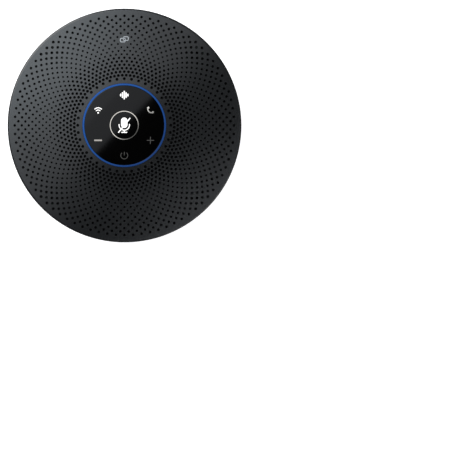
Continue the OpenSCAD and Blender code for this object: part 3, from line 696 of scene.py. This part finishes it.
def cone_surround():
    """Half-roll rubber ring between the cone and the basket."""
    thickness, lap, stand_off = 0.4, 1.6, 0.3
    base_z = low("cone_surround").z
    roll_r = high("cone_surround").z - base_z
    middle = high("driver_cone").x + stand_off + roll_r
    profile = [(high("cone_surround").x, base_z), (high("cone_surround").x, base_z + thickness)]
    profile += arc(middle, base_z, roll_r, 12, 168, 16)
    profile += [(middle - roll_r - lap, base_z + thickness), (middle - roll_r - lap, base_z)]
    profile += arc(middle, base_z, roll_r - thickness, 180, 0, 16)
    bm = bmesh.new()
    turned(bm, profile, steps=120)
    obj = piece("rolled_surround", welded(bm), [MATERIALS["surround_rubber"]], body=None,
                stands_for=["cone_surround"])
    flex_between(obj, middle + roll_r - thickness, middle - roll_r + thickness)


def cone_spider():
    """Corrugated cloth ring that centres the voice coil."""
    thickness, height, waves, steps = 0.35, 0.5, 4, 64
    tuck, flat_rim = 1.9, 1.3
    rest_z = low("cone_spider").z + height
    inner = high("dust_cap").x - tuck
    outer = high("cone_spider").x
    waved = outer - flat_rim
    wave = [(inner + (waved - inner) * i / steps, rest_z - height * math.sin(math.tau * waves * i / steps))
            for i in range(steps + 1)]
    profile = wave + [(outer, rest_z), (outer, rest_z + thickness)]
    profile += [(r, z + thickness) for r, z in reversed(wave)]
    bm = bmesh.new()
    turned(bm, profile, steps=120)
    obj = piece("corrugated_spider", welded(bm), [MATERIALS["spider_cloth"]], body=None,
                stands_for=["cone_spider"])
    flex_between(obj, waved, inner + 1)


# Base --------------------------------------------------------------------------------------------

def foot():
    bm = bmesh.new()
    lo, hi = low("foot_ring"), high("foot_ring")
    outer = hi.x
    band, edge = 7.8, 0.5
    inner = outer - band
    profile = [(inner, hi.z)] + arc(inner + edge, lo.z + edge, edge, 180, 270, 4)
    grooves, half_mouth, half_bed, depth = 3, 0.35, 0.2, 0.3
    pitch = (outer - inner - 2 * edge) / (grooves + 1)
    for i in range(1, grooves + 1):
        middle = inner + edge + i * pitch
        profile += [(middle - half_mouth, lo.z), (middle - half_bed, lo.z + depth)]
        profile += [(middle + half_bed, lo.z + depth), (middle + half_mouth, lo.z)]
    profile += arc(outer - edge, lo.z + edge, edge, 270, 360, 4) + [(outer, hi.z)]
    turned(bm, profile)
    return piece("foot", welded(bm), [MATERIALS["foot_rubber"]],
                 stands_for=["foot_ring"], crease=50)


def smooth_copy(node, name, crease=30):
    """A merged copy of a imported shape, which shades smoothly between its creases."""
    bm = bmesh.new()
    bm.from_mesh(frame["nodes"][node].data)
    bmesh.ops.scale(bm, vec=(1 / MM, 1 / MM, 1 / MM), verts=bm.verts)
    return piece(name, welded(bm), [MATERIALS[SLOTS[node]]], stands_for=[node], crease=crease)


perforated_cover()
panel_glass()
light_guide()
handset()
cone_surround()
cone_spider()
foot()
smooth_copy("base_shell", "bowl", crease=10)


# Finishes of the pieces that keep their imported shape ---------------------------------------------

def finish_packed_pieces():
    # The mute ring and the wireless symbol take glowing prints whose glow is painted light.
    own = {"symbol_mute_ring": "halo_print", "symbol_wireless": "white_print"}
    for name, obj in frame["nodes"].items():
        material = MATERIALS[own.get(name, SLOTS[name])]
        obj.data.materials.clear()
        obj.data.materials.append(material)


finish_packed_pieces()


# Stage -------------------------------------------------------------------------------------------

def stage_material():
    """White to the camera, a plain diffuse table for the lighting, and clear from below and to shadows."""
    camera_glow = 0.93
    material, tree, shader = new_material("white_sweep")
    path = add(tree, "ShaderNodeLightPath")
    glow = add(tree, "ShaderNodeMath", operation="MULTIPLY")
    glow.inputs[1].default_value = camera_glow
    link(tree, path.outputs["Is Camera Ray"], glow.inputs[0])
    link(tree, glow.outputs[0], shader.inputs["Emission Strength"])
    set_sockets(shader, Base_Color=(0.8, 0.8, 0.8, 1), Roughness=0.9, Emission_Color=(1, 1, 1, 1))
    side = add(tree, "ShaderNodeNewGeometry")
    let_through = add(tree, "ShaderNodeMath", operation="MAXIMUM")
    link(tree, side.outputs["Backfacing"], let_through.inputs[0])
    link(tree, path.outputs["Is Shadow Ray"], let_through.inputs[1])
    clear = add(tree, "ShaderNodeBsdfTransparent")
    both = add(tree, "ShaderNodeMixShader")
    link(tree, let_through.outputs[0], both.inputs[0])
    link(tree, shader.outputs["BSDF"], both.inputs[1])
    link(tree, clear.outputs["BSDF"], both.inputs[2])
    link(tree, both.outputs["Shader"], tree.nodes["Material Output"].inputs["Surface"])
    return material


def floor():
    reach, sunk = 6, 0.05 * MM
    bm = bmesh.new()
    bmesh.ops.create_grid(bm, x_segments=1, y_segments=1, size=reach)
    bmesh.ops.translate(bm, vec=(0, 0, -sunk), verts=bm.verts)
    mesh = bpy.data.meshes.new("floor")
    bm.to_mesh(mesh)
    bm.free()
    mesh.materials.append(stage_material())
    obj = bpy.data.objects.new("floor", mesh)
    bpy.context.scene.collection.objects.link(obj)


def world():
    """White behind everything for the camera, and dim for the lighting."""
    scene_world = bpy.data.worlds.new("studio")
    bpy.context.scene.world = scene_world
    scene_world.use_nodes = True
    tree = scene_world.node_tree
    background = tree.nodes["Background"]
    path = add(tree, "ShaderNodeLightPath")
    link(tree, blend_colours(tree, path.outputs["Is Camera Ray"], (0.03, 0.03, 0.031), (1.0, 1.0, 1.0)),
         background.inputs["Color"])


COOL = (0.96, 1.0, 1.06)
COOLER = (0.885, 1.0, 1.08)


def area_light(name, width, length, radiance, tint=(1, 1, 1)):
    """A rectangular light of even radiance, which the camera does not see."""
    lamp = bpy.data.lights.new(name, "AREA")
    lamp.shape = "RECTANGLE"
    lamp.size, lamp.size_y = width, length
    lamp.energy = radiance * math.pi * width * length
    lamp.color = tint
    obj = bpy.data.objects.new(name, lamp)
    obj.visible_camera = False
    bpy.context.scene.collection.objects.link(obj)
    return obj


def softbox(name, start, end, radiance, tint):
    """A long level light over the table. It starts and ends at the given distances from the middle, measured
    towards the far left corner, and runs across from near left to far right."""
    height, length = 1.0, 1.4
    obj = area_light(name, length, end - start, radiance, tint)
    along = (start + end) / 2 * math.sqrt(0.5)
    obj.location = (-along, along, HUB_Z * MM + height)
    obj.rotation_euler = (0, 0, math.radians(45))


def underside_softbox(radiance):
    """A broad weak light below the table, which only the underside of the object sees."""
    distance, size = 1.0, 8.0
    obj = area_light("underside_softbox", size, size, radiance)
    obj.location = (0, 0, -distance)
    obj.rotation_euler = (math.pi, 0, 0)


def horizon_softbox(name, azimuth, elevation, height, radiance):
    """A soft light low beside the object, which catches the rim and the side of the base."""
    distance, width = 1.2, 1.0
    azimuth, elevation = math.radians(azimuth), math.radians(elevation)
    away = Vector((math.sin(azimuth) * math.cos(elevation), math.cos(azimuth) * math.cos(elevation),
                   math.sin(elevation)))
    obj = area_light(name, width, height, radiance)
    obj.location = away * distance
    obj.rotation_euler = away.to_track_quat("Z", "Y").to_euler()


def camera():
    """Looks straight down, with the object up and to the left in the picture."""
    lens, sensor, picture_width = 500.0, 36.0, 0.3240
    view = bpy.data.cameras.new("camera")
    view.lens, view.sensor_width = lens, sensor
    view.clip_end = 20
    obj = bpy.data.objects.new("camera", view)
    centre_x, centre_y, rim_height = 0.0724, -0.0717, 42 * MM
    obj.location = (centre_x, centre_y, rim_height + picture_width * lens / sensor)
    bpy.context.scene.collection.objects.link(obj)
    bpy.context.scene.camera = obj


bpy.context.scene.view_settings.view_transform = "Standard"
camera()
floor()
world()
softbox("overhead_softbox", 0.0245, 0.12, 1.0, COOL)
softbox("middle_softbox", 0.12, 0.4, 1.3, COOL)
softbox("key_softbox", 0.4, 0.75, 3.4, COOLER)
softbox("edge_softbox", -0.6, -0.48, 2.4, COOL)
underside_softbox(0.5)
horizon_softbox("far_left_softbox", 315, 32, 1.0, 6.0)
horizon_softbox("near_right_softbox", 135, 22, 0.5, 3.0)
